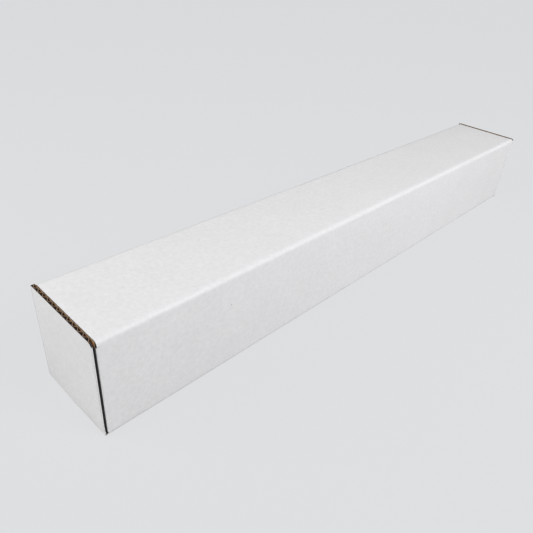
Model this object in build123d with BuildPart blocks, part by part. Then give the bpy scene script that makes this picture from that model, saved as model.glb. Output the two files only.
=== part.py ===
from build123d import *
import os

# Outside size of the closed tube, lying on its bottom panel.
# X is its width, Y its length, Z its height. The near end is at -Y.
width = 82.5
height = 88.0
length = 648.0

# Single-wall board: two liners with a fluted sheet between them
board = 3.2
liner = 0.3
flute_pitch = 6.8
flute_foot = 0.65  # half the width where the fluted sheet is glued to a liner
flute_crest = 0.5  # half the flat at the top of an open flute
flute_crest_radius = 0.4
flute_depth = 10.0  # how far in from a cut edge the flutes are open
crease_inside = 0.4  # inside radius of a crease

# Outer end flaps, creased along the bottom panel
flap_side_clearance = 0.3
flap_left_corner = 1.0  # radii of its free corners, as seen from the near end
flap_right_corner = 4.4
flap_side_roll = 0.6  # radius to which the outer liner is rolled over the right side edge
flap_side_groove = 2.8  # depth of the flute that is cut open behind the rolled edge
flap_side_step = 1.2  # how far the inner liner ends short of the rolled edge
flap_flute_lead = 3.1  # from the flap's middle to the nearest flute on its outer liner
crease_gap = 0.1
lip_start = 2.6  # where the bottom panel begins, from the end's outer face
lip_margin = 7.0  # from the tube's sides to the ends of the flap's crease

# Dust flaps, folded in from the two side panels
dust_gap = 0.3  # between an outer flap and the dust flaps
dust_reach = 31.0  # from the tube's side to the dust flap's free edge
dust_top_relief = 1.5
dust_bottom_relief = 0.6
dust_taper_run = 14.0
dust_taper_rise = 4.0
dust_crease_radius = 1.2  # outside radius of the crease that carries a dust flap

# Cut ends of the panels that carry no dust flap
cut_setback = 0.5  # between an outer flap and a panel's cut end

# Glue tab, inside the left panel
tab_height = 32.0
tab_setback = 12.0
tab_taper = 8.0
tab_press = 0.1  # how far the glued boards are pressed into each other
panel_lift = 0.4  # the left panel's cut edge stays clear of the ground

# Places that follow from the sizes above
crease_middle = crease_inside + board / 2
crease_outside = crease_inside + board
side_wall = width / 2 - board / 2
roof = height - board / 2
tab_wall = -side_wall + board - tab_press
end_face = -length / 2
flap_back = end_face + board
cut_end = flap_back + cut_setback
dust_face = flap_back + dust_gap
dust_back = dust_face + board
dust_bottom = board + dust_bottom_relief
dust_top = height - board - dust_top_relief
dust_edge = width / 2 - dust_reach
knuckle = board / 2
pivot_y = end_face + knuckle
pivot_z = knuckle
flap_half_width = width / 2 - flap_side_clearance
flap_roll_middle = flap_half_width - flap_side_roll
flap_side_lip = 2 * flap_side_roll
flute_half_mouth = flute_pitch / 2 - flute_foot
flute_rise = board - 3 * liner

os.makedirs("parts", exist_ok=True)


def flute_mouth():
    """One open flute: flat on its liner along X, with a rounded crest towards +Y."""
    with BuildSketch() as mouth:
        with BuildLine():
            Polyline(
                (-flute_half_mouth, 0),
                (flute_half_mouth, 0),
                (flute_crest, flute_rise),
                (-flute_crest, flute_rise),
                close=True,
            )
        make_face()
        fillet(mouth.vertices().group_by(Axis.Y)[-1], flute_crest_radius)
    return mouth.sketch


def flute_row(low, high, lead=0):
    """The two rows of open flutes on a cut edge that runs from low to high.

    The outer liner lies along X, the board's thickness along +Y. Flutes on the
    outer liner stand at whole pitches from lead, and those on the inner liner
    half a pitch further.
    """
    reach = int((high - low) / flute_pitch) + 1

    def places(share):
        spots = [lead + (step + share) * flute_pitch for step in range(-reach, reach + 1)]
        return [spot for spot in spots if low < spot - flute_half_mouth and spot + flute_half_mouth < high]

    mouth = flute_mouth()
    with BuildSketch() as row:
        with Locations(*[(spot, liner) for spot in places(0)]):
            add(mouth)
        with Locations(*[Location((spot, board - liner), 180) for spot in places(0.5)]):
            add(mouth)
    return row.sketch


def flap_section():
    """The outer flap's board seen from above, with its outer face towards -Y.

    A flute is cut open along the right side edge. In front of it the outer
    liner is rolled over, and behind it the inner liner ends a little short.
    """
    with BuildSketch() as section:
        with Locations((-flap_half_width, end_face)):
            Rectangle(flap_half_width + flap_roll_middle, board, align=(Align.MIN, Align.MIN))
        with Locations((flap_half_width, end_face + flap_side_lip)):
            Rectangle(
                2 * flap_side_groove,
                board - flap_side_lip - liner,
                align=(Align.CENTER, Align.MIN),
                mode=Mode.SUBTRACT,
            )
        with Locations((flap_half_width, flap_back)):
            Rectangle(2 * flap_side_step, 2 * liner, mode=Mode.SUBTRACT)
        with Locations((flap_roll_middle, end_face + flap_side_roll)):
            Circle(flap_side_roll)
    return section.sketch


# The folded blank: four long panels, the glue tab, the dust flaps and the
# crease lips that carry the outer flaps. Half of it is made, from the middle
# to the near end, and the far half is its mirror image.
with BuildPart() as tube_shell:
    # Left, top, right and bottom panel, up to the middle of the bottom
    with BuildSketch(Plane.XZ):
        with BuildLine():
            FilletPolyline(
                (-side_wall, panel_lift),
                (-side_wall, roof),
                (side_wall, roof),
                (side_wall, board / 2),
                (0, board / 2),
                radius=crease_middle,
            )
        trace(line_width=board)
    extrude(amount=-cut_end)

    # The rest of the bottom panel, with the glue tab that stands up from it
    with BuildSketch(Plane.XZ):
        with BuildLine():
            FilletPolyline(
                (0, board / 2),
                (tab_wall, board / 2),
                (tab_wall, tab_height),
                radius=crease_middle,
            )
        trace(line_width=board)
    extrude(amount=-cut_end)

    # The glue tab stops short of the end, on a slant
    with BuildSketch(Plane.YZ.offset(tab_wall - board / 2)):
        with BuildLine():
            Polyline(
                (end_face, board),
                (end_face + tab_setback, board),
                (end_face + tab_setback + tab_taper, tab_height),
                (end_face, tab_height),
                close=True,
            )
        make_face()
    extrude(amount=board, mode=Mode.SUBTRACT)

    # The bottom panel's crease lip, hollowed round the flap's rolled edge
    with BuildSketch(Plane.YZ.offset(lip_margin - width / 2)):
        with Locations((end_face + lip_start, 0)):
            Rectangle(cut_setback + board, board, align=(Align.MIN, Align.MIN))
        with Locations((pivot_y, pivot_z)):
            Circle(knuckle + crease_gap, mode=Mode.SUBTRACT)
        with Locations((flap_back + crease_gap, pivot_z)):
            Rectangle(board, board, align=(Align.MAX, Align.MIN), mode=Mode.SUBTRACT)
    extrude(amount=width - 2 * lip_margin)

    for side in (-1, 1):
        # Room for the crease between a side panel and its dust flap
        with BuildSketch(Plane.XY.offset(dust_bottom)):
            with Locations((side * side_wall, end_face)):
                Rectangle(board, dust_face + crease_outside - end_face, align=(Align.CENTER, Align.MIN))
        extrude(amount=dust_top - dust_bottom, mode=Mode.SUBTRACT)

        # The crease and the dust flap
        with BuildSketch(Plane.XY.offset(dust_bottom)):
            with BuildLine():
                outer = FilletPolyline(
                    (side * width / 2, dust_back + crease_outside),
                    (side * width / 2, dust_face),
                    (side * dust_edge, dust_face),
                    radius=dust_crease_radius,
                )
                inner = FilletPolyline(
                    (side * dust_edge, dust_back),
                    (side * (width / 2 - board), dust_back),
                    (side * (width / 2 - board), dust_back + crease_outside),
                    radius=crease_inside,
                )
                Line(outer @ 1, inner @ 0)
                Line(inner @ 1, outer @ 0)
            make_face()
        extrude(amount=dust_top - dust_bottom)

        # Its free corners are cut at a slant
        for corner, slope in ((dust_top, -1), (dust_bottom, 1)):
            with BuildSketch(Plane.XZ.offset(-dust_back)):
                with BuildLine():
                    Polyline(
                        (side * dust_edge, corner),
                        (side * (dust_edge + dust_taper_run), corner),
                        (side * dust_edge, corner + slope * dust_taper_rise),
                        close=True,
                    )
                make_face()
            extrude(amount=board, mode=Mode.SUBTRACT)

        # The flutes are open along its free edge
        middle = (side * dust_edge, dust_face, (dust_bottom + dust_top) / 2)
        half_edge = (dust_top - dust_bottom) / 2 - dust_taper_rise
        with BuildSketch(Plane(origin=middle, x_dir=(0, 0, -side), z_dir=(side, 0, 0))):
            add(flute_row(-half_edge, half_edge))
        extrude(amount=flute_depth, mode=Mode.SUBTRACT)

    # The flutes are open along the top panel's cut end too
    half_top = width / 2 - crease_outside
    with BuildSketch(Plane(origin=(0, cut_end, height), x_dir=(1, 0, 0), z_dir=(0, 1, 0))):
        add(flute_row(-half_top, half_top))
    extrude(amount=flute_depth, mode=Mode.SUBTRACT)

    mirror(about=Plane.XZ)

# The outer end flap. Its flutes run upward from the crease, so they are open
# along its top edge.
with BuildPart() as near_end_flap:
    # The rolled edge at the crease, and the board above it
    with BuildSketch(Plane.YZ.offset(-flap_half_width)):
        with Locations((end_face, pivot_z)):
            Rectangle(board, knuckle, align=(Align.MIN, Align.MIN))
        with Locations((pivot_y, pivot_z)):
            Circle(knuckle)
    extrude(amount=2 * flap_half_width)
    with BuildSketch(Plane.XY.offset(2 * knuckle)):
        add(flap_section())
    extrude(amount=height - 2 * knuckle)

    # Its outline, with the two free corners rounded
    with BuildSketch(Plane.XZ.offset(-end_face)):
        with BuildLine():
            FilletPolyline(
                (-flap_half_width, 0),
                (-flap_half_width, height),
                (flap_half_width, height),
                (flap_half_width, 0),
                radius=[flap_left_corner, flap_right_corner],
            )
            Line((flap_half_width, 0), (-flap_half_width, 0))
        make_face()
    extrude(amount=-board, mode=Mode.INTERSECT)

    # Open flutes, from the left side edge to the right corner
    low = liner - flap_half_width
    high = flap_half_width - max(flap_right_corner, flap_side_groove + liner)
    with BuildSketch(Plane.XY.offset(height)):
        with Locations((0, end_face)):
            add(flute_row(low, high, flap_flute_lead))
    extrude(amount=-flute_depth, mode=Mode.SUBTRACT)

with BuildPart() as far_end_flap:
    mirror(near_end_flap.part, about=Plane.XZ)

tube_shell.part.label = "tube_shell"
near_end_flap.part.label = "near_end_flap"
far_end_flap.part.label = "far_end_flap"
export_step(tube_shell.part, "parts/tube_shell.step")
export_step(near_end_flap.part, "parts/near_end_flap.step")
export_step(far_end_flap.part, "parts/far_end_flap.step")
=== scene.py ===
import math

import bpy
from mathutils import Matrix, Vector, noise


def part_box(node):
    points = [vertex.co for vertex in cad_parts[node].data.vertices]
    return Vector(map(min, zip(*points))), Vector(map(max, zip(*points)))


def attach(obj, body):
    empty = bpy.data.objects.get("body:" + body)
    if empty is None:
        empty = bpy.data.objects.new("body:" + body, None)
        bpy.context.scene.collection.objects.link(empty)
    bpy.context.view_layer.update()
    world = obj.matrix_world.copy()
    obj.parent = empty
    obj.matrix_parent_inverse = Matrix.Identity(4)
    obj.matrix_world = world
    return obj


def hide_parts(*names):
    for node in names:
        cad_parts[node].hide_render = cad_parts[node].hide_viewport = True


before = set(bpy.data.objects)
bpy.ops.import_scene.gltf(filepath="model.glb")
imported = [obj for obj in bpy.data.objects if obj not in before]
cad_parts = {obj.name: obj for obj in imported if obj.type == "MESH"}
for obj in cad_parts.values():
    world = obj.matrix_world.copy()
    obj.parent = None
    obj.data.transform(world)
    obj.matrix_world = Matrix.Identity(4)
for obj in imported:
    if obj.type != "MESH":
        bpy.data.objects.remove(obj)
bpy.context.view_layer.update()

MM = 0.001

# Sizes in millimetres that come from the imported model
shell_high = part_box("tube_shell")[1] / MM
flap_low, flap_high = [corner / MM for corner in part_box("near_end_flap")]
half_width = shell_high.x
height = shell_high.z
half_length = -flap_low.y
board = flap_high.y - flap_low.y
flap_half_width = flap_high.x

# The board: two liners with a fluted sheet between them
liner = 0.3
fluting = 0.42
sheet_gap = 0.01  # between the fluted sheet and a liner
flute_pitch = 6.8
flute_roundness = 0.8  # 1 is a zigzag, 0 a sine wave
washboard = 0.03  # how far a liner sinks into the board once in every pitch
crease_inside = 0.4  # radii of a crease
crease_outside = crease_inside + board

# Outer flaps and the crease that carries them
flap_left_corner = 0.3
flap_right_corner = 3.6  # of the outer liner, the layers behind it are less rounded
flap_inner_corners = {"fluting": 2.6, "inner_liner": 1.8}
flap_side_groove = 2.8  # depth of the open flute behind the right side edge
flap_side_step = 1.2  # how far the inner liner ends short of that edge
flap_flute_lead = 0.2  # from the flap's middle to the nearest open flute on its outer liner
flap_fluting_inset = 0.35  # where the fluted sheet begins, from the left side edge
flap_hem_gap = 0.1  # left free beyond the outer liner's two turned edges
flap_foot_corner = 2.0  # radius at the foot of its right side edge
flap_foot_rise = 12.0  # height up to which the foot's rounding and crushing reach
flap_foot_crush = 1.4  # how far the outer face is pressed back at its right foot
left_turn = 0.5  # radius to which the outer liner is turned back along the left side edge
near_roll = 0.6  # radius to which the outer liner is rolled over the right side edge
far_roll = 1.15  # the same at the far end
knuckle = board / 2  # radius of the rolled edge at the crease
pivot_y = -half_length + knuckle
pivot_z = knuckle
crease_gap = 0.1  # between the rolled edge and the lip of the bottom panel
lip_margin = 7.0  # from the tube's sides to the ends of the lip
lip_half_width = half_width - lip_margin
lip_fade = 0.8  # run over which the hollow of the lip fades in at its ends
cut_setback = 0.5  # between an outer flap and a panel's cut end
cut_end = half_length - board - cut_setback

# Dust flaps, folded in from the two side panels
dust_gap = 0.3  # between an outer flap and the dust flaps
dust_reach = 31.0  # from the tube's side to the dust flap's free edge
dust_top_relief = 1.5
dust_bottom_relief = 0.6
dust_face = half_length - board - dust_gap
dust_bottom = board + dust_bottom_relief
dust_top = height - board - dust_top_relief
dust_edge = half_width - dust_reach
dust_taper_run = 14.0
dust_taper_rise = 4.0
dust_crease_radius = 1.2  # outside radius of the crease that carries a dust flap
dust_crease_bulge = 0.85  # how far the right creases swell into the groove of the outer flap
crease_lead = 0.2  # straight board between the body's last row and a crease
crease_start = dust_face - crease_outside - crease_lead
relief_slit = 0.08  # width of the cuts above and below a dust flap

# Glue tab, inside the left panel
tab_gap = 0.05
tab_face = half_width - board - tab_gap
tab_height = 32.0
tab_setback = 12.0
tab_taper = 8.0
panel_lift = 0.4  # the left panel's cut edge stays clear of the ground

# The top panel's cut ends are pressed down a little
end_curl = 0.3
end_curl_run = 6.0
end_curl_fade = 8.0  # how steeply it sets in beside the folds

# How far the outer faces lie inside their plain outline
panel_bow = 0.28
panel_wander = 0.3  # by how much a panel's bow varies along the tube
bottom_bow = 0.12
bottom_flat = 8.0  # stretch at each end of the bottom panel that stays flat
bow_run = 40.0  # distance over which a panel's bow sets in from its ends
fold_sink = 0.06
fold_wander = 0.08
flap_bow = 0.1

# Smooth noise, as its run along the tube or across the flap, the run at right angles and a seed
panel_noise = (140.0, 90.0, 3.7)
fold_noise = (26.0, 40.0, 9.1)
flap_noise = (40.0, 40.0, 5.2)

# Points per flute pitch
liner_steps = 6
shell_flute_steps = 12
flap_flute_steps = 14

# A small grey speck on the right panel
speck_y = -206.2
speck_z = 60.5
speck_radius = 1.1

# Where a painted grey shade along the left side edge of a flap begins and is full, from that edge
edge_shade_begins = 1.25
edge_shade_full = 0.65

# Where the brown of a flap's cut top edge begins in its hollows, over their painted shade, and is full,
# from the top
brown_begins = 5.2
brown_full = 4.0


def smooth(value):
    value = min(max(value, 0.0), 1.0)
    return value * value * (3 - 2 * value)


def wander(pattern, along, across):
    """Smooth noise from -1 to 1."""
    along_run, across_run, seed = pattern
    return noise.noise(Vector((along / along_run, across / across_run, seed)))


def folded_outline(start, heading, runs, radius):
    """Straight runs joined by quarter turns to the right, as (begin, point, heading, length, turns)."""
    stretches = []
    point = Vector(start)
    begin = 0.0
    for number, run in enumerate(runs):
        stretches.append((begin, point.copy(), heading, run, False))
        ahead = Vector((math.cos(heading), math.sin(heading)))
        point += run * ahead
        begin += run
        if number < len(runs) - 1:
            arc = radius * math.pi / 2
            stretches.append((begin, point.copy(), heading, arc, True))
            right = Vector((ahead.y, -ahead.x))
            point += radius * (ahead + right)
            heading -= math.pi / 2
            begin += arc
    return stretches


shell_runs = (
    height - crease_outside - panel_lift,
    2 * (half_width - crease_outside),
    height - 2 * crease_outside,
    half_width + tab_face - 2 * crease_outside,
    tab_height - crease_outside,
)
shell_outline = folded_outline((-half_width, panel_lift), math.pi / 2, shell_runs, crease_outside)
shell_span = shell_outline[-1][0] + shell_outline[-1][3]
left_panel, top_panel, right_panel, bottom_panel, glue_tab = shell_outline[::2]
bottom_middle = bottom_panel[0] + half_width - crease_outside


def outline_at(across):
    """The point of the shell's outer face at that distance across the board, and its outward normal."""
    for begin, point, heading, run, turns in shell_outline:
        if across <= begin + run or begin == glue_tab[0]:
            break
    past = across - begin
    ahead = Vector((math.cos(heading), math.sin(heading)))
    if not turns:
        return point + past * ahead, Vector((-ahead.y, ahead.x))
    centre = point + crease_outside * Vector((ahead.y, -ahead.x))
    angle = heading + math.pi / 2 - past / crease_outside
    outward = Vector((math.cos(angle), math.sin(angle)))
    return centre + crease_outside * outward, outward


def panel_share(across):
    """0 at a panel's folds and 1 at its middle."""
    for panel in (left_panel, top_panel, right_panel, bottom_panel):
        place = (across - panel[0]) / panel[3]
        if 0 < place < 1:
            return 4 * place * (1 - place)
    return 0.0


def in_panel(across, panel):
    margin = 0.01
    return panel[0] - margin <= across <= panel[0] + panel[3] + margin


def flute_wave(across):
    """Depth of the fluted sheet's middle, from -1 at the outer liner to 1 at the inner one."""
    turn = math.sin(2 * math.pi * (across / flute_pitch + 0.25))
    return math.asin(flute_roundness * turn) / math.asin(flute_roundness)


def liner_sink(across):
    """How far a liner sinks into the board, most where a flute lies open on the outer liner."""
    return washboard * (0.5 + 0.5 * math.cos(2 * math.pi * across / flute_pitch))


def evenly(low, high, step, fixed=()):
    """Values from low to high about a step apart, which pass through the fixed ones."""
    stops = sorted({low, high, *[value for value in fixed if low < value < high]})
    values = [low]
    for begin, end in zip(stops, stops[1:]):
        count = max(1, round((end - begin) / step))
        values += [begin + (end - begin) * number / count for number in range(1, count + 1)]
    return values


def liner_columns(stations, depth, sink_sign, phase):
    """Pairs of (across, depth) points on the two faces of a liner."""
    columns = []
    for across in stations:
        sink = sink_sign * liner_sink(across - phase)
        columns.append(((across, depth + sink), (across, depth + sink + liner)))
    return columns


def fluting_columns(stations, phase):
    """Pairs of (across, depth) points on the two faces of the fluted sheet."""
    low, high = stations[0], stations[-1]
    reach = board / 2 - liner - fluting / 2 - sheet_gap - washboard
    nudge = 0.01
    columns = []
    for across in stations:
        depth = board / 2 + reach * flute_wave(across - phase)
        rise = flute_wave(across + nudge - phase) - flute_wave(across - nudge - phase)
        slope = reach * rise / (2 * nudge)
        shift = Vector((-slope, 1)).normalized() * fluting / 2
        near = (min(max(across - shift.x, low), high), depth - shift.y)
        far = (min(max(across + shift.x, low), high), depth + shift.y)
        columns.append((near, far))
    return columns


def mesh_piece(name, points, faces, finishes, materials, sharp_angle=35):
    mesh = bpy.data.meshes.new(name)
    mesh.from_pydata(points, [], faces)
    for material in materials:
        mesh.materials.append(material)
    mesh.polygons.foreach_set("material_index", finishes)
    mesh.shade_smooth()
    mesh.set_sharp_from_angle(angle=math.radians(sharp_angle))
    piece = bpy.data.objects.new(name, mesh)
    bpy.context.scene.collection.objects.link(piece)
    return piece


def sheet_solid(name, columns, row_count, place, materials, is_cut=None):
    """A thin closed solid. place((across, depth), row) gives a point in metres.

    Its materials are those of its first face, its second face, the cut edges at
    its ends and those along its sides.
    """
    count = len(columns)
    points = [place(pair[face], row) for face in (0, 1) for pair in columns for row in range(row_count)]

    def at(face, column, row):
        return (face * count + column) * row_count + row

    def present(column, row):
        inside = 0 <= column < count - 1 and 0 <= row < row_count - 1
        return inside and not (is_cut and is_cut(column, row))

    faces = []
    finishes = []
    for column in range(count - 1):
        for row in range(row_count - 1):
            if not present(column, row):
                continue
            ring = [(column, row), (column + 1, row), (column + 1, row + 1), (column, row + 1)]
            beyond = [(column, row - 1), (column + 1, row), (column, row + 1), (column - 1, row)]
            faces.append([at(0, *corner) for corner in ring])
            finishes.append(0)
            faces.append([at(1, *corner) for corner in reversed(ring)])
            finishes.append(1)
            for side in range(4):
                if present(*beyond[side]):
                    continue
                begin, end = ring[side], ring[(side + 1) % 4]
                faces.append([at(0, *end), at(0, *begin), at(1, *begin), at(1, *end)])
                finishes.append(2 + side % 2)
    a, b, c = [points[index] for index in faces[0][:3]]
    if (b - a).cross(c - a).dot(a - points[faces[0][0] + count * row_count]) < 0:
        faces = [face[::-1] for face in faces]
    return mesh_piece(name, points, faces, finishes, materials)


def finish_piece(piece, body, node):
    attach(piece, body)
    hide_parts(node)


# Rows of points along the shell, from its near end to its far end. Those
# past the dust flaps' creases follow the crease and the dust flap instead.
body_rows = 34
crease_rows = 12
dust_rows = 5
end_rows = crease_rows + dust_rows
shell_rows = 2 * end_rows + body_rows + 1


def row_place(row):
    """(distance from the middle, steps into the end zone, side) of a row."""
    if row < end_rows:
        return crease_start, end_rows - row, -1
    if row > end_rows + body_rows:
        return crease_start, row - end_rows - body_rows, 1
    y = (2 * (row - end_rows) / body_rows - 1) * crease_start
    return abs(y), 0, (1 if y > 0 else -1)


def lip_end(depth):
    """Where the bottom panel ends at its crease, hollowed round the flap's rolled edge."""
    if depth >= pivot_z:
        return half_length - board - crease_gap
    reach = knuckle + crease_gap
    rise = pivot_z - depth
    return -pivot_y - math.sqrt(max(reach * reach - rise * rise, 0.0))


def foot_end(z):
    """Where the bottom right fold ends, swollen like the dust flap's crease above it."""
    reach = knuckle + crease_gap
    rise = max(z - pivot_z, 0.0)
    return min(cut_end + dust_crease_bulge, -pivot_y - math.sqrt(max(reach * reach - rise * rise, 0.0)))


def plain_end(across, depth):
    """Where a panel without a dust flap ends, as a distance from the tube's middle."""
    past = across - bottom_panel[0] - bottom_panel[3]
    turn = crease_outside * math.pi / 2
    if past > turn:
        return half_length - tab_setback - tab_taper * (past - turn) / glue_tab[3]
    if past > 0:
        return cut_end + (half_length - tab_setback - cut_end) * past / turn
    if across > bottom_panel[0]:
        x = abs(across - bottom_middle)
        inside = smooth((lip_half_width - x) / lip_fade)
        return cut_end + (lip_end(depth) - cut_end) * inside
    if across > right_panel[0] and height_at(across) < dust_bottom:
        outside = max(0.0, 1 - depth / liner)
        return cut_end + (foot_end(height_at(across)) - cut_end) * outside
    return cut_end


def sunk(across, y):
    """How far the outer face lies inside its plain outline: panels bow, folds wander, cut ends curl."""
    from_end = half_length - abs(y)
    if in_panel(across, bottom_panel):
        return bottom_bow * panel_share(across) * smooth((from_end - bottom_flat) / bow_run)
    if panel_share(across) == 0:
        return fold_sink + fold_wander * wander(fold_noise, y, across)
    bow = panel_bow + panel_wander * wander(panel_noise, y, across)
    depth = panel_share(across) * bow * smooth(from_end / bow_run)
    if in_panel(across, top_panel):
        edge_share = min(1.0, end_curl_fade * panel_share(across))
        depth += end_curl * edge_share * max(0.0, 1 - (cut_end - abs(y)) / end_curl_run) ** 2
    return depth


def height_at(across):
    return outline_at(across)[0].y


def across_at(panel, z):
    """Distance across the board at which a side panel reaches that height."""
    return panel[0] + abs(z - height_at(panel[0]))


def carries_dust_flap(across):
    if not (in_panel(across, left_panel) or in_panel(across, right_panel)):
        return False
    margin = 0.001
    return dust_bottom - margin <= height_at(across) <= dust_top + margin


def place_on_shell(point, row):
    across, depth = point
    base, outward = outline_at(across)
    y, steps, side = row_place(row)
    if steps and carries_dust_flap(across):
        return place_on_dust_flap(depth, base, outward, steps, side)
    end = plain_end(across, depth)
    if end < crease_start:
        y = (y + (cut_end - crease_start) * steps / end_rows) * end / cut_end
    else:
        y += (end - y) * steps / end_rows
    at = base - (depth + sunk(across, side * y)) * outward
    return Vector((at.x, side * y, at.y)) * MM


def place_on_dust_flap(depth, base, outward, steps, side):
    z = base.y
    taper = max(z - dust_top, dust_bottom - z) + dust_taper_rise
    edge = dust_edge + dust_taper_run * max(taper, 0.0) / dust_taper_rise
    radius = dust_crease_radius + (crease_inside - dust_crease_radius) * depth / board
    x = half_width - depth - radius
    y = dust_face - depth - radius
    if steps <= crease_rows:
        angle = math.pi / 2 * (steps - 1) / (crease_rows - 1)
        x += radius * math.cos(angle)
        y += radius * math.sin(angle)
        if outward.x > 0:
            y += dust_crease_bulge * (1 - depth / board) * math.sin(2 * angle)
    else:
        x += (edge - x) * (steps - crease_rows) / dust_rows
        y += radius
    return Vector((outward.x * x, side * y, z)) * MM


def shell_stations():
    """Places across the board at which every layer has points, and the cuts beside the dust flaps."""
    places = [stretch[0] for stretch in shell_outline]
    places += [bottom_middle - lip_half_width, bottom_middle + lip_half_width]
    cuts = []
    for panel in (left_panel, right_panel):
        for edge, away in ((dust_top, 1), (dust_bottom, -1)):
            ends = (across_at(panel, edge), across_at(panel, edge + away * relief_slit))
            cuts.append(sorted(ends))
            places += ends
            places.append(across_at(panel, edge - away * dust_taper_rise))
    return places, cuts


def cut_cells(columns, cuts):
    """Gives the test for the cells of a layer that the cuts beside the dust flaps take away."""
    def is_cut(column, row):
        middle = (columns[column][0][0] + columns[column + 1][0][0]) / 2
        in_end = row < end_rows or row >= end_rows + body_rows
        return in_end and any(low < middle < high for low, high in cuts)
    return is_cut


def build_shell(papers):
    white, kraft, hollow, edge = papers["white"], papers["kraft"], papers["hollow"], papers["edge"]
    # the shaded paper is painted shade: a darker copy of the cut edge for the cut ends
    shaded = papers["shaded"]
    places, cuts = shell_stations()
    stations = evenly(0.0, shell_span, flute_pitch / liner_steps, places)
    waves = evenly(0.0, shell_span, flute_pitch / shell_flute_steps, places)
    outer_columns = liner_columns(stations, 0.0, 1, bottom_middle)
    wave_columns = fluting_columns(waves, bottom_middle)
    inner_columns = liner_columns(stations, board - liner, -1, bottom_middle)
    layers = (
        ("outer_liner", outer_columns, (white, kraft, shaded, edge)),
        ("fluting", wave_columns, (hollow, hollow, shaded, edge)),
        ("inner_liner", inner_columns, (kraft, kraft, shaded, edge)),
    )
    for layer, columns, materials in layers:
        is_cut = cut_cells(columns, cuts)
        piece = sheet_solid("shell_" + layer, columns, shell_rows, place_on_shell, materials, is_cut)
        finish_piece(piece, "shell", "tube_shell")


# Rows of points on an outer flap, from its top edge down and round its rolled edge
flap_rows = 16
roll_rows = 10

# Points on its rounded corners, its rolled side edge and its turned one
corner_steps = 8
roll_steps = 8
turn_steps = 6


def flap_top(x, right_corner):
    """Height of an outer flap's top edge, with its two rounded corners."""
    corner = right_corner if x > 0 else flap_left_corner
    past = max(0.0, abs(x) - flap_half_width + corner)
    return height - corner + math.sqrt(max(corner * corner - past * past, 0.0))


def lifted(x, z):
    """The height of a flap's point, raised where the foot of its right side edge is rounded."""
    past = max(0.0, x - flap_half_width + flap_foot_corner)
    lift = flap_foot_corner - math.sqrt(max(flap_foot_corner ** 2 - past * past, 0.0))
    return z + lift * max(0.0, 1 - z / flap_foot_rise) ** 2


def crushed(x, y, z):
    """The y of a flap's point, as at the near end, pressed back where its right foot is crushed."""
    crush = flap_foot_crush * max(0.0, x / flap_half_width)
    outside = (pivot_y + knuckle - y) / board
    return y + crush * outside * abs(outside) * max(0.0, 1 - z / flap_foot_rise) ** 2


def flap_sunk(x, z):
    """How far a flap's board stands back from its plain place."""
    share = (1 - (x / flap_half_width) ** 2) * math.sin(math.pi * min(max(z / height, 0), 1))
    return share * flap_bow * (1 + wander(flap_noise, x, z))


def turned_left(across, depth):
    """A point of the outer liner where it is turned back along the left side edge."""
    past = -across - flap_half_width + left_turn
    angle = min(past / left_turn, math.pi / 2)
    x = flap_half_width - left_turn + (left_turn - depth) * math.sin(angle)
    return -x, left_turn - (left_turn - depth) * math.cos(angle) + max(past - left_turn * math.pi / 2, 0.0)


def rolled(across, depth, roll):
    """A point of the outer liner, which is rolled over the right side edge and back behind itself."""
    if across < left_turn - flap_half_width:
        return turned_left(across, depth)
    past = across - flap_half_width + roll
    if past <= 0:
        return across, depth
    angle = min(past / roll, math.pi)
    x = flap_half_width - roll + (roll - depth) * math.sin(angle) - max(past - math.pi * roll, 0.0)
    return x, roll - (roll - depth) * math.cos(angle)


def flap_placer(side, layer, roll):
    """Gives the function that places the points of one layer of an outer flap."""
    right_corner = flap_inner_corners.get(layer, flap_right_corner)

    def place(point, row):
        x, depth = point
        if layer == "outer_liner":
            x, depth = rolled(x, depth, roll)
        top = flap_top(x, right_corner)
        if layer == "fluting":
            z = top + (2 * pivot_z - top) * row / flap_rows
            y = depth + flap_sunk(x, z) - half_length
        elif row <= flap_rows:
            z = top + (pivot_z - top) * row / flap_rows
            y = depth + flap_sunk(x, z) - half_length
        else:
            angle = math.pi / 2 * (row - flap_rows) / roll_rows
            z = pivot_z - abs(knuckle - depth) * math.sin(angle)
            y = pivot_y - (knuckle - depth) * math.cos(angle)
        return Vector((x, side * crushed(x, y, z), lifted(x, z))) * MM
    return place


def crushed_edge(name, side, material):
    """The crushed board inside the rolled edge at the flap's crease."""
    radius = knuckle - liner
    low = 2 * liner - flap_half_width
    high = flap_half_width - flap_side_step
    turns = 12
    profile = [(radius, 2 * pivot_z)]
    for step in range(turns + 1):
        angle = math.pi * step / turns
        profile.append((radius * math.cos(angle), pivot_z - radius * math.sin(angle)))
    profile.append((-radius, 2 * pivot_z))
    columns = 24
    points = []
    for column in range(columns + 1):
        x = low + (high - low) * column / columns
        for across, z in profile:
            points.append(Vector((x, side * crushed(x, pivot_y + across, z), lifted(x, z))) * MM)
    size = len(profile)
    faces = []
    for column in range(columns):
        for corner in range(size):
            a = column * size + corner
            b = column * size + (corner + 1) % size
            faces.append([a, b, b + size, a + size])
    faces.append(list(range(size))[::-1])
    faces.append([columns * size + corner for corner in range(size)])
    if side > 0:
        faces = [face[::-1] for face in faces]
    return mesh_piece(name, points, faces, [0] * len(faces), [material])


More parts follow.
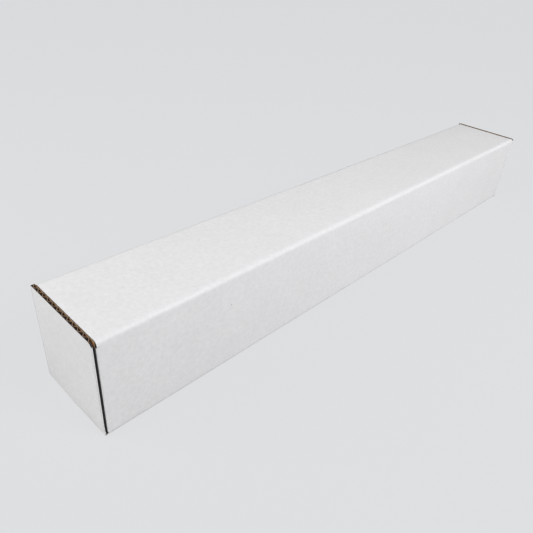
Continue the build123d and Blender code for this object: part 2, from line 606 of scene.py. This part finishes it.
def flap_stations(roll):
    """Places across an outer flap at which its outer liner, fluted sheet and inner liner have points."""
    corners = []
    for hand, radius in ((-1, flap_left_corner), (1, flap_right_corner)):
        for step in range(corner_steps):
            angle = math.pi / 2 * step / corner_steps
            corners.append(hand * (flap_half_width - radius * (1 - math.sin(angle))))
    half_turn = math.pi * roll
    roll_start = flap_half_width - roll
    rolls = [roll_start + half_turn * step / roll_steps for step in range(roll_steps + 1)]
    hem_end = rolls[-1] + flap_side_groove - roll - flap_hem_gap
    quarter_turn = math.pi * left_turn / 2
    turn_start = left_turn - flap_half_width
    turns = [turn_start - quarter_turn * step / turn_steps for step in range(turn_steps + 1)]
    left_end = turns[-1] - (board - liner - left_turn - flap_hem_gap)
    wave_start = flap_fluting_inset - flap_half_width
    wave_end = flap_half_width - flap_side_groove
    inner_end = flap_half_width - flap_side_step
    outer = evenly(left_end, hem_end, flute_pitch / liner_steps, corners + rolls + turns)
    waves = evenly(wave_start, wave_end, flute_pitch / flap_flute_steps, corners)
    inner = evenly(-flap_half_width, inner_end, flute_pitch / liner_steps, corners)
    return outer, waves, inner


def build_flap(name, body, side, roll, papers):
    node = name + "_flap"
    white, kraft, hollow, edge = papers["flap_white"], papers["kraft"], papers["hollow"], papers["edge"]
    # the groove paper is painted shade: a dark grey for the hollows of the groove
    groove, shaded = papers["groove"], papers["shaded"]
    outer, waves, inner = flap_stations(roll)
    outer_columns = liner_columns(outer, 0.0, 1, flap_flute_lead)
    wave_columns = fluting_columns(waves, flap_flute_lead)
    inner_columns = liner_columns(inner, board - liner, -1, flap_flute_lead)
    rows = flap_rows + roll_rows + 1
    layers = (
        # the outer liner's cut ends carry the shaded paper, which is painted shade
        ("outer_liner", outer_columns, rows, (white, hollow, shaded, edge)),
        ("fluting", wave_columns, flap_rows + 1, (hollow, hollow, edge, groove)),
        ("inner_liner", inner_columns, rows, (groove, kraft, edge, groove)),
    )
    for layer, columns, count, materials in layers:
        piece = sheet_solid(node + "_" + layer, columns, count, flap_placer(side, layer, roll), materials)
        finish_piece(piece, body, node)
    # the crushed edge in the rolled crease also carries the groove's painted shade
    piece = crushed_edge(node + "_crushed_edge", side, groove)
    finish_piece(piece, body, node)


def new_material(name):
    material = bpy.data.materials.new(name)
    material.use_nodes = True
    tree = material.node_tree
    tree.nodes.clear()
    output = tree.nodes.new("ShaderNodeOutputMaterial")
    return material, tree, output


def add(tree, kind, inputs, **settings):
    """A shader node with its settings, and with its inputs set to a value or linked to a socket."""
    node = tree.nodes.new(kind)
    for key, value in settings.items():
        setattr(node, key, value)
    for key, value in inputs.items():
        if isinstance(value, bpy.types.NodeSocket):
            tree.links.new(value, node.inputs[key])
        else:
            node.inputs[key].default_value = value
    return node


def noise_at(tree, place, scale, detail, roughness=0.62):
    inputs = {"Vector": place, "Scale": scale, "Detail": detail, "Roughness": roughness}
    return add(tree, "ShaderNodeTexNoise", inputs).outputs["Fac"]


def mapped(tree, value, low, high, most=1.0):
    """The value's share of the way from low to high, times most."""
    inputs = {"Value": value, "From Min": low, "From Max": high, "To Max": most}
    return add(tree, "ShaderNodeMapRange", inputs).outputs["Result"]


def sum_of(tree, value, weight, other):
    """The value times its weight, plus the other one."""
    inputs = {0: value, 1: weight, 2: other}
    return add(tree, "ShaderNodeMath", inputs, operation="MULTIPLY_ADD").outputs["Value"]


def between(tree, share, first, second):
    """A colour between two others."""
    return add(tree, "ShaderNodeMix", {0: share, 6: first, 7: second}, data_type="RGBA").outputs[2]


def paper(name, dark, light, fibre, grain, bump, roughness, speck=None, beyond=None):
    """A paper surface: cloudy colour, fine fibres and a low bump.

    It can carry a speck, as (place, radius, colour), and another colour beyond
    a place on one axis, as (axis, place where it begins, place where it is full,
    colour). All lengths are in millimetres, and grain counts per metre.
    """
    cloud_grain = 28.0
    fibre_grain = (900.0, 160.0, 900.0)  # the fibres lie along the tube
    speck_core = 0.4  # share of a speck's radius within which its colour is full
    material, tree, output = new_material(name)
    place = add(tree, "ShaderNodeTexCoord", {}).outputs["Object"]
    cloud = noise_at(tree, place, cloud_grain, detail=4.0)
    mottle = noise_at(tree, place, grain, detail=3.0)
    inputs = {"Vector": place, "Scale": fibre_grain}
    stretched = add(tree, "ShaderNodeMapping", inputs).outputs["Vector"]
    fibres = noise_at(tree, stretched, scale=1.0, detail=4.0)
    both = sum_of(tree, mottle, weight=3.0, other=cloud)
    colour = between(tree, mapped(tree, both, low=1.25, high=2.75), dark, light)
    colour = between(tree, mapped(tree, fibres, low=0.56, high=0.78, most=0.6), colour, fibre)
    if speck:
        spot_place, spot_radius, spot_colour = speck
        inputs = {0: place, 1: Vector(spot_place) * MM}
        reach = add(tree, "ShaderNodeVectorMath", inputs, operation="DISTANCE").outputs["Value"]
        share = mapped(tree, reach, low=spot_radius * MM, high=speck_core * spot_radius * MM)
        colour = between(tree, share, colour, spot_colour)
    if beyond:
        axis, begins, full, far_colour = beyond
        along = add(tree, "ShaderNodeSeparateXYZ", {"Vector": place}).outputs[axis]
        share = mapped(tree, along, low=begins * MM, high=full * MM)
        colour = between(tree, share, colour, far_colour)
    relief = sum_of(tree, fibres, weight=0.5, other=mottle)
    inputs = {"Height": relief, "Strength": 1.0, "Distance": bump * MM}
    bumped = add(tree, "ShaderNodeBump", inputs).outputs["Normal"]
    inputs = {"Base Color": colour, "Roughness": roughness, "Normal": bumped}
    shader = add(tree, "ShaderNodeBsdfPrincipled", inputs)
    tree.links.new(shader.outputs["BSDF"], output.inputs["Surface"])
    return material


def white_papers():
    """The shell's white liner with its grey speck, and the flaps' with painted shade along their left side
    edge.
    """
    white = {
        "dark": (0.760, 0.758, 0.761, 1),
        "light": (0.844, 0.841, 0.846, 1),
        "fibre": (0.765, 0.762, 0.765, 1),
        "grain": 310.0,
        "bump": 0.02,
        "roughness": 0.5,
    }
    speck = ((half_width, speck_y, speck_z), speck_radius, (0.58, 0.57, 0.56, 1))
    # painted shade: a grey strip down the flap's left side edge, where its turned-back liner falls into
    # shade
    painted_edge_shade = ("X", edge_shade_begins - flap_half_width, edge_shade_full - flap_half_width, (0.42, 0.42, 0.42, 1))
    return paper("white_liner", **white, speck=speck), paper("flap_liner", **white, beyond=painted_edge_shade)


def kraft_liner():
    return paper(
        "kraft_liner",
        dark=(0.34, 0.23, 0.13, 1),
        light=(0.42, 0.295, 0.18, 1),
        fibre=(0.25, 0.16, 0.085, 1),
        grain=500.0,
        bump=0.04,
        roughness=0.8,
    )


# The fluted sheet: its own kraft brown, darkened nearly to black as painted shade for the hollows between
# the liners.
def fluting_with_painted_shade():
    return paper(
        "fluting_with_painted_shade",
        dark=(0.08, 0.045, 0.027, 1),
        light=(0.115, 0.066, 0.04, 1),
        fibre=(0.06, 0.033, 0.02, 1),
        grain=600.0,
        bump=0.04,
        roughness=0.85,
    )


# The cut edges: darker than the kraft liner, partly the cut fibres' own tone and partly painted shade.
def cut_edge():
    return paper(
        "cut_edge",
        dark=(0.205, 0.142, 0.092, 1),
        light=(0.295, 0.208, 0.14, 1),
        fibre=(0.14, 0.09, 0.052, 1),
        grain=700.0,
        bump=0.05,
        roughness=0.9,
    )


def painted_shade_cut_edge():
    """Painted shade: a darker copy of the cut edge, for the cut ends of the shell and of a flap's outer
    liner, which lie in shade.
    """
    return paper(
        "painted_shade_cut_edge",
        dark=(0.08, 0.066, 0.056, 1),
        light=(0.12, 0.10, 0.085, 1),
        fibre=(0.06, 0.048, 0.04, 1),
        grain=700.0,
        bump=0.05,
        roughness=0.9,
    )


def painted_shade_groove():
    """Painted shade: the hollows in a flap's groove, painted dark grey for their depth of shade, and brown
    at its cut top edge.
    """
    brown = ("Z", height - brown_begins, height - brown_full, (0.50, 0.27, 0.12, 1))
    return paper(
        "painted_shade_groove",
        dark=(0.07, 0.068, 0.068, 1),
        light=(0.09, 0.088, 0.088, 1),
        fibre=(0.06, 0.058, 0.058, 1),
        grain=600.0,
        bump=0.04,
        roughness=0.9,
        beyond=brown,
    )


def paper_materials():
    white, flap_white = white_papers()
    return {
        "white": white,
        "flap_white": flap_white,
        "kraft": kraft_liner(),
        # the fluting paper, partly its own kraft and partly painted shade for the hollows
        "hollow": fluting_with_painted_shade(),
        "edge": cut_edge(),
        "shaded": painted_shade_cut_edge(),
        "groove": painted_shade_groove(),
    }


def build_floor(pale):
    """A floor that the camera sees in its pale colour, with a soft shadow."""
    floor_size = 40.0
    floor_grey = (0.5, 0.5, 0.5, 1)
    glow_strength = 1.04
    glow_share = 0.9
    bpy.ops.mesh.primitive_plane_add(size=floor_size, location=(0, 0, 0))
    floor = bpy.context.object
    floor.name = "floor"
    material, tree, output = new_material("floor_paper")
    diffuse = add(tree, "ShaderNodeBsdfDiffuse", {"Color": floor_grey}).outputs["BSDF"]
    glow = add(tree, "ShaderNodeEmission", {"Color": pale, "Strength": glow_strength}).outputs["Emission"]
    seen = add(tree, "ShaderNodeLightPath", {}).outputs["Is Camera Ray"]
    share = add(tree, "ShaderNodeMath", {0: seen, 1: glow_share}, operation="MULTIPLY").outputs["Value"]
    both = add(tree, "ShaderNodeMixShader", {"Fac": share, 1: diffuse, 2: glow})
    tree.links.new(both.outputs["Shader"], output.inputs["Surface"])
    floor.data.materials.append(material)


def build_world(pale):
    """A white world that the camera sees in the floor's pale colour."""
    light_strength = 0.33
    world = bpy.data.worlds.new("studio")
    bpy.context.scene.world = world
    world.use_nodes = True
    tree = world.node_tree
    tree.nodes.clear()
    seen = add(tree, "ShaderNodeLightPath", {}).outputs["Is Camera Ray"]
    lit = add(tree, "ShaderNodeBackground", {"Color": (1.0, 1.0, 1.0, 1), "Strength": light_strength})
    shown = add(tree, "ShaderNodeBackground", {"Color": pale, "Strength": 1.0})
    inputs = {"Fac": seen, 1: lit.outputs["Background"], 2: shown.outputs["Background"]}
    both = add(tree, "ShaderNodeMixShader", inputs)
    output = tree.nodes.new("ShaderNodeOutputWorld")
    tree.links.new(both.outputs["Shader"], output.inputs["Surface"])


def build_stage():
    """The floor and the world, in the pale colour of the background."""
    pale = (0.724, 0.733, 0.750, 1)
    build_floor(pale)
    build_world(pale)


def add_lamp(name, place, target, size, power, colour=(1.0, 1.0, 1.0)):
    """A square lamp that shines from its place towards its target, with its power in watts."""
    lamp = bpy.data.lights.new(name, "AREA")
    lamp.size = size
    lamp.energy = power
    lamp.color = colour
    holder = bpy.data.objects.new(name, lamp)
    holder.location = place
    holder.rotation_mode = "QUATERNION"
    holder.rotation_quaternion = (Vector(target) - Vector(place)).to_track_quat("-Z", "Y")
    bpy.context.scene.collection.objects.link(holder)


def build_lights():
    add_lamp(
        "upper_right_lamp",
        place=(0.9, 0.09, 0.9),
        target=(0.04, 0.0, 0.08),
        size=0.5,
        power=8.8,
        colour=(0.995, 0.995, 1.02),
    )
    add_lamp("far_right_lamp", place=(0.85, 0.5, 0.7), target=(0.04, 0.27, 0.06), size=0.5, power=2.2)
    add_lamp("front_left_lamp", place=(-0.5, -1.1, 0.6), target=(0.0, -0.3, 0.05), size=0.8, power=8.6)


def build_camera():
    """The photograph's viewpoint, 533 pixels square."""
    frame_pixels = 533
    focal_pixels = 514.94
    place = Vector((0.27377, -0.42827, 0.30929))
    ahead = Vector((-0.55879, 0.62239, -0.54807)).normalized()
    right = Vector((0.70999, 0.70056, 0.07169)).normalized()
    up = right.cross(ahead).normalized()
    camera = bpy.data.cameras.new("camera")
    camera.sensor_width = 36.0
    camera.lens = focal_pixels / frame_pixels * camera.sensor_width
    camera.clip_start = 0.01
    holder = bpy.data.objects.new("camera", camera)
    bpy.context.scene.collection.objects.link(holder)
    turn = Matrix((right, up, -ahead)).transposed()
    holder.matrix_world = Matrix.Translation(place) @ turn.to_4x4()
    bpy.context.scene.camera = holder


papers = paper_materials()
build_shell(papers)
build_flap("near_end", "near_flap", 1, near_roll, papers)
build_flap("far_end", "far_flap", -1, far_roll, papers)
build_stage()
build_lights()
build_camera()
bpy.context.scene.view_settings.view_transform = "Standard"
